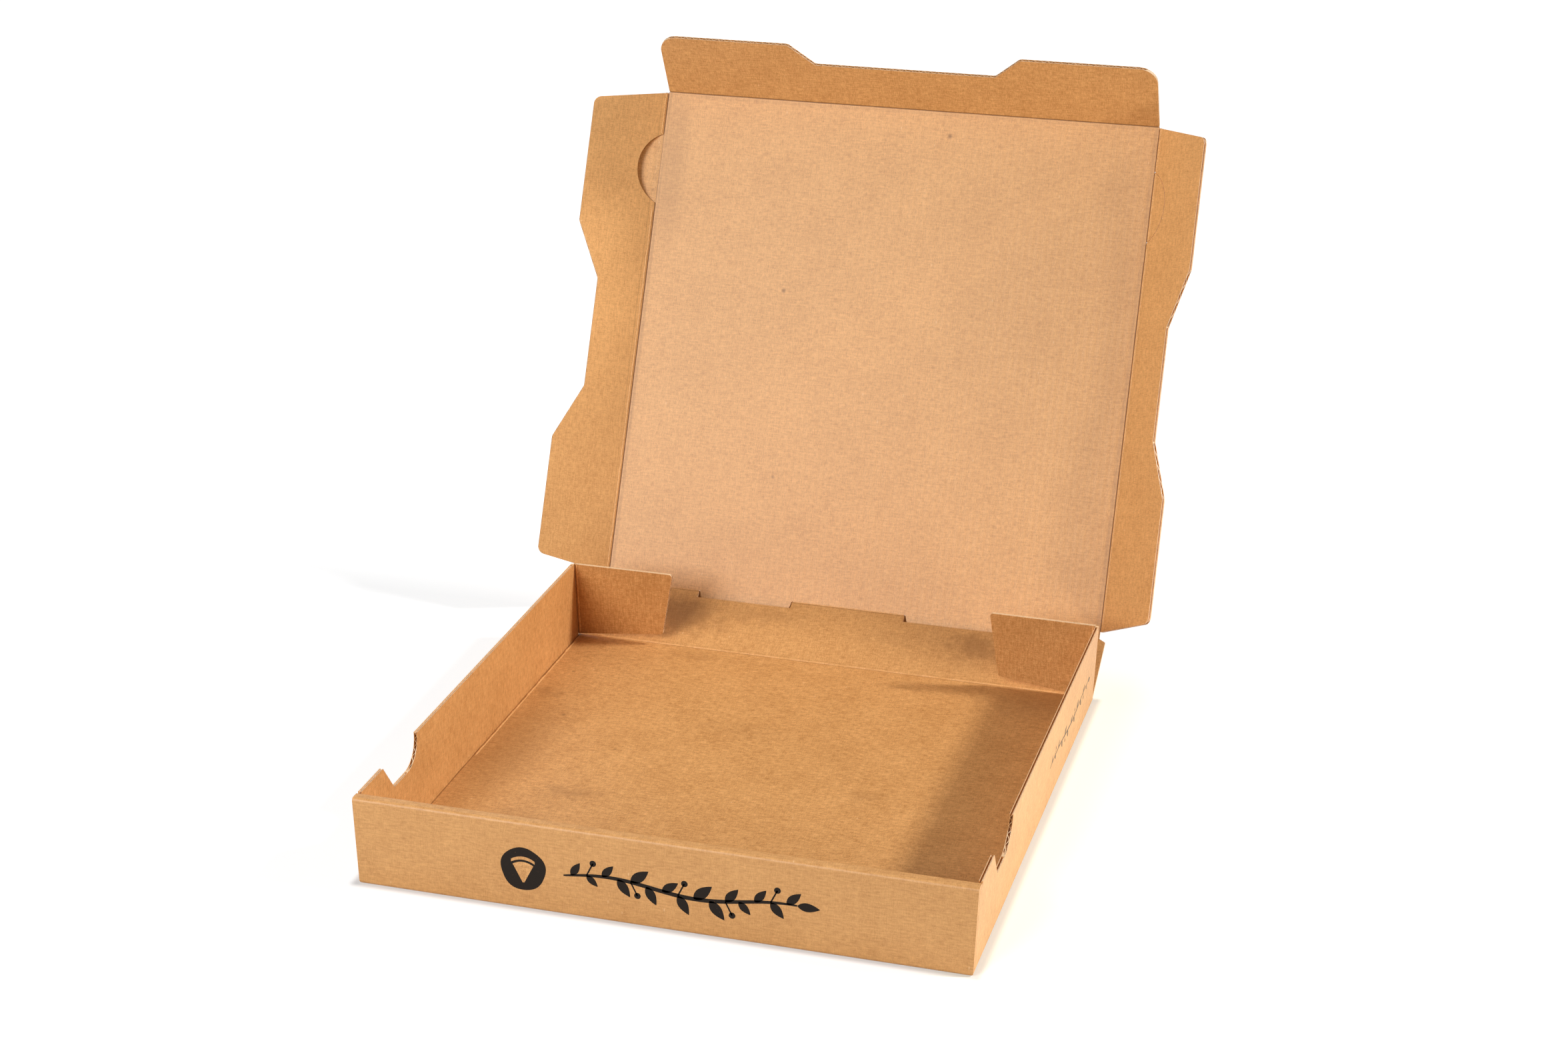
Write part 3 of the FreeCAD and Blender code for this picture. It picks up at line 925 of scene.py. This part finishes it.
def pizza_slice(centre, size):
    """Slice of pizza: a rounded crust and a wedge below it."""
    way = np.linspace(-1.0, 1.0, 15)
    top = np.column_stack((0.80 * way, 0.62 + 0.26 * (1 - way ** 2)))
    low = np.column_stack((0.80 * way[::-1], 0.42 + 0.24 * (1 - way[::-1] ** 2)))
    crust = np.vstack((top, low))
    edge = np.column_stack((0.70 * way, 0.28 + 0.22 * (1 - way ** 2)))
    wedge = np.vstack((edge, [[0.06, -0.98], [-0.06, -0.98]]))
    return [outline * size + centre for outline in (crust, wedge)]


def front_place():
    """Plane of the front wall's outer face."""
    point, normal = tray_face(FRONT)
    return point, RIGHT, UP, normal


def right_place():
    """Plane of the right wall's outer face, leaning with the wall."""
    point, normal = tray_face(RIGHT)
    along = -FRONT
    up = np.cross(normal, along)
    return point - up * (point @ up), along, up, normal


def ink_material(name, colour, pitting):
    """Matt ink with the board's fibres showing through as fine breaks."""
    writer = NodeWriter(name)
    look = bpy.context.scene.pizza_board
    place = writer.add("ShaderNodeTexCoord").outputs["Object"]
    across = writer.noise(writer.vector("MULTIPLY", place, (2300, 2300, 600)), 1.0)
    fine = writer.noise(place, 1500.0, detail=3.0)
    worn = writer.ease(writer.total(across, fine), 0.34 - 0.30 * pitting, 0.5)
    worn = writer.math("MULTIPLY", worn, 0.25 + 0.5 * pitting)
    colour = writer.tint(worn, opaque(colour), opaque(look.kraft_dark, 1.2))
    writer.feed(writer.shader.inputs["Base Color"], colour)
    bump = writer.add("ShaderNodeBump", {"Height": across, "Strength": 0.5,
                      "Distance": 0.02 * MM})
    writer.feed(writer.shader.inputs["Normal"], bump.outputs["Normal"])
    writer.shader.inputs["Roughness"].default_value = 0.75
    writer.shader.inputs["Specular IOR Level"].default_value = 0.15
    return writer.material


class PIZZA_OT_board(Operator):
    """Give every panel its kraft board"""

    bl_idname = "pizza.board"
    bl_label = "Board"

    def execute(self, context):
        looks = {"base_tray": tray_material()}
        lines = panel_crease_shade()
        for joint in JOINTS.values():
            node = joint["child"]
            looks[node] = panel_material(node + "_board", joint,
                                         PANEL_SPECKS_AND_SHADE.get(node, ()), lines.get(node, ()),
                                         PANEL_PAINTED_LIGHT.get(node, 0.0))
        for node, material in looks.items():
            slots = frame["nodes"][node].data.materials
            slots.clear()
            slots.append(material)
        return {"FINISHED"}


class PIZZA_OT_creases(Operator):
    """Make the bent board at the folds"""

    bl_idname = "pizza.creases"
    bl_label = "Creases"

    def execute(self, context):
        look = context.scene.pizza_crease
        bent = plain_board("crease_board")
        # The beads are painted paler than the board: a painted highlight along the folds
        pale = plain_board("bead_highlight_board", lift=0.28)
        for joint in JOINTS.values():
            make_bend(joint, bent)
        beside = 2.0 * look.bead
        make_bead(JOINTS["rear_wall_fold"], pale, look.bead, 0.0)
        make_bead(JOINTS["lid_fold"], pale, 0.6 * look.bead, 0.0)
        make_bead(JOINTS["lid_left_flap_fold"], pale, 0.9 * look.bead, beside)
        make_bead(JOINTS["lid_right_flap_fold"], pale, 0.9 * look.bead, beside)
        make_bead(JOINTS["left_corner_flap_fold"], pale, 0.7 * look.bead, beside)
        make_bead(JOINTS["right_corner_flap_fold"], pale, 0.7 * look.bead, beside)
        side_beads(pale)
        # Sheets behind the tabs and the half-moon, so that the gaps there show as shade instead
        # of the white floor
        tab_shade_backings(bent)
        moon_shade_backing(bent)
        return {"FINISHED"}


class PIZZA_OT_print(Operator):
    """Print a badge and a sprig on the front and a faint sprig on the right"""

    bl_idname = "pizza.print"
    bl_label = "Print"

    def execute(self, context):
        look = context.scene.pizza_print
        film = look.film
        ink = ink_material("black_ink", look.ink, 0.25)
        faded = ink_material("faded_ink", look.faded_ink, 1.0)
        bare = plain_board("bare_board")
        middle = np.array(look.badge_place)
        badge = [disc(middle, look.badge_radius, wobble=0.035, corners=96)]
        branch = sprig(-40 * MM, 59 * MM, 18.4 * MM, 2.0 * MM, look.stroke, 15, 9.4 * MM)
        beside = sprig(18 * MM, 110 * MM, 23.5 * MM, 1.2 * MM, 1.0 * MM, 12, 5.0 * MM)
        made = (
            ("print_badge", badge, front_place(), film, ink),
            ("print_slice", pizza_slice(middle, look.slice_size), front_place(), 2 * film, bare),
            ("print_sprig", branch, front_place(), film, ink),
            ("print_side_sprig", beside, right_place(), film, faded),
        )
        for name, outlines, place, lift, material in made:
            points, faces = flat_pieces(outlines, place, lift, 2 * film)
            closed_mesh(name, points, faces, material, "base_tray")
        return {"FINISHED"}


def contact(writer, reach):
    """Mask round the tray's footprint, from one at its edge to none at the reach."""
    low, high = (np.array(corner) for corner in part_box("base_tray"))
    place = writer.add("ShaderNodeTexCoord").outputs["Object"]
    middle, half = (low + high) / 2, (high - low) / 2
    apart = writer.vector("ABSOLUTE", writer.vector("SUBTRACT", place,
                                                    (middle[0], middle[1], 0.0)))
    apart = writer.vector("SUBTRACT", apart, (half[0], half[1], 0.0))
    apart = writer.vector("MAXIMUM", apart, (0.0, 0.0, 0.0))
    return writer.ease(writer.vector("LENGTH", apart, output="Value"), reach, 0.0)


def floor_material(look):
    """White floor that glows to the camera, with painted shade along the box's foot and a
    painted warm bounce light beside its right wall.
    """
    writer = NodeWriter("white_floor")
    rays = writer.add("ShaderNodeLightPath")
    seen = writer.total(rays.outputs["Is Camera Ray"], rays.outputs["Is Glossy Ray"],
                        rays.outputs["Is Transmission Ray"])
    seen = writer.math("MULTIPLY", writer.math("MINIMUM", seen, 1.0), look.floor_glow)
    # Painted shade along the box's foot: the floor glows less near it
    near = contact(writer, look.contact_reach)
    bright = writer.math("MULTIPLY_ADD", near, -look.contact_shade, 1.0)
    place = writer.add("ShaderNodeTexCoord").outputs["Object"]
    place = writer.add("ShaderNodeSeparateXYZ", {0: place})
    # Painted warm bounce light beside the box's right wall
    right = writer.ease(place.outputs[0], 0.10, 0.14)
    warm = writer.math("MULTIPLY", contact(writer, look.warm_bounce_reach), right)
    tint = writer.tint(warm, (1, 1, 1, 1), opaque(look.warm_bounce_tint))
    inputs = writer.shader.inputs
    writer.feed(inputs["Emission Strength"], writer.math("MULTIPLY", seen, bright))
    writer.feed(inputs["Emission Color"], tint)
    inputs["Base Color"].default_value = (*[look.floor_grey] * 3, 1)
    inputs["Roughness"].default_value = 0.9
    inputs["Specular IOR Level"].default_value = 0.0
    return writer.material


def white_floor(look):
    """Wide floor under the box, white to the camera but keeping its shadow."""
    mesh = bpy.data.meshes.new("floor")
    reach = 6.0
    corners = [(-reach, -reach, 0), (reach, -reach, 0), (reach, reach, 0), (-reach, reach, 0)]
    mesh.from_pydata(corners, [], [(0, 1, 2, 3)])
    mesh.materials.append(floor_material(look))
    floor = bpy.data.objects.new("floor", mesh)
    bpy.context.scene.collection.objects.link(floor)


def lamp(name, kind, energy, place, aim, size):
    """Lamp of a kind that looks from its place at an aim."""
    data = bpy.data.lights.new(name, kind)
    data.energy = energy
    if kind == "SUN":
        data.angle = size
    else:
        data.size = size
    made = bpy.data.objects.new(name, data)
    bpy.context.scene.collection.objects.link(made)
    made.location = place
    back = made.location - Vector(aim)
    made.rotation_euler = back.to_track_quat("Z", "Y").to_euler()


def white_world(ambient):
    """World that lights evenly and is white where the camera sees it."""
    world = bpy.data.worlds.new("studio")
    bpy.context.scene.world = world
    world.use_nodes = True
    nodes, links = world.node_tree.nodes, world.node_tree.links
    lit = nodes["Background"]
    lit.inputs["Strength"].default_value = ambient
    lit.inputs["Color"].default_value = (1, 1, 1, 1)
    seen = nodes.new("ShaderNodeBackground")
    seen.inputs["Color"].default_value = (1, 1, 1, 1)
    rays = nodes.new("ShaderNodeLightPath")
    share = rays.outputs["Is Camera Ray"]
    for name in ("Is Glossy Ray", "Is Transmission Ray"):
        larger = nodes.new("ShaderNodeMath")
        larger.operation = "MAXIMUM"
        links.new(share, larger.inputs[0])
        links.new(rays.outputs[name], larger.inputs[1])
        share = larger.outputs[0]
    mix = nodes.new("ShaderNodeMixShader")
    links.new(share, mix.inputs[0])
    links.new(lit.outputs[0], mix.inputs[1])
    links.new(seen.outputs[0], mix.inputs[2])
    links.new(mix.outputs[0], nodes["World Output"].inputs["Surface"])


class PIZZA_OT_stage(Operator):
    """Set up the floor, the lamps and the camera"""

    bl_idname = "pizza.stage"
    bl_label = "Stage"

    def execute(self, context):
        look = context.scene.pizza_stage
        white_floor(look)
        white_world(look.ambient)
        centre = (0.0, 0.05, 0.08)
        lamp("key", "SUN", look.key, (1.54, 0.42, 1.22), (0, 0, 0), math.radians(9))
        lamp("fill", "AREA", look.fill, (-0.92, -1.88, 1.20), centre, 1.2)
        lamp("rim", "AREA", look.rim, (0.45, -0.03, 0.03), (0.13, -0.03, 0.03), 0.06)
        data = bpy.data.cameras.new("camera")
        data.lens = look.lens
        data.clip_start, data.clip_end = 0.05, 50.0
        camera = bpy.data.objects.new("camera", data)
        context.scene.collection.objects.link(camera)
        camera.location = look.camera_place
        turn = Euler((math.pi / 2 - look.tilt, 0.0, look.heading)).to_matrix()
        camera.rotation_euler = (turn @ Matrix.Rotation(look.roll, 3, "Z")).to_euler()
        context.scene.camera = camera
        context.scene.view_settings.view_transform = "Standard"
        return {"FINISHED"}


class PIZZA_PT_dressing(Panel):
    """Panel that lists the steps of the dressing"""

    bl_idname = "PIZZA_PT_dressing"
    bl_label = "Pizza Box"
    bl_space_type = "VIEW_3D"
    bl_region_type = "UI"
    bl_category = "Pizza Box"

    def draw(self, context):
        for step in OPERATORS:
            self.layout.operator(step.bl_idname)


OPERATORS = (PIZZA_OT_board, PIZZA_OT_creases, PIZZA_OT_print, PIZZA_OT_stage)
LOOKS = {
    "pizza_board": BoardLook,
    "pizza_crease": CreaseLook,
    "pizza_print": PrintLook,
    "pizza_stage": StageLook,
}


def register():
    """Register the classes and hang the looks on the scene."""
    for item in (*LOOKS.values(), *OPERATORS, PIZZA_PT_dressing):
        bpy.utils.register_class(item)
    for name, item in LOOKS.items():
        setattr(bpy.types.Scene, name, PointerProperty(type=item))


def unregister():
    """Undo what register did."""
    for name in LOOKS:
        delattr(bpy.types.Scene, name)
    for item in (PIZZA_PT_dressing, *OPERATORS, *LOOKS.values()):
        bpy.utils.unregister_class(item)


def main():
    """Dress the box."""
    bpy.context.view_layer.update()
    register()
    bpy.ops.pizza.board()
    bpy.ops.pizza.creases()
    bpy.ops.pizza.print()
    bpy.ops.pizza.stage()


if __name__ == "__main__":
    main()
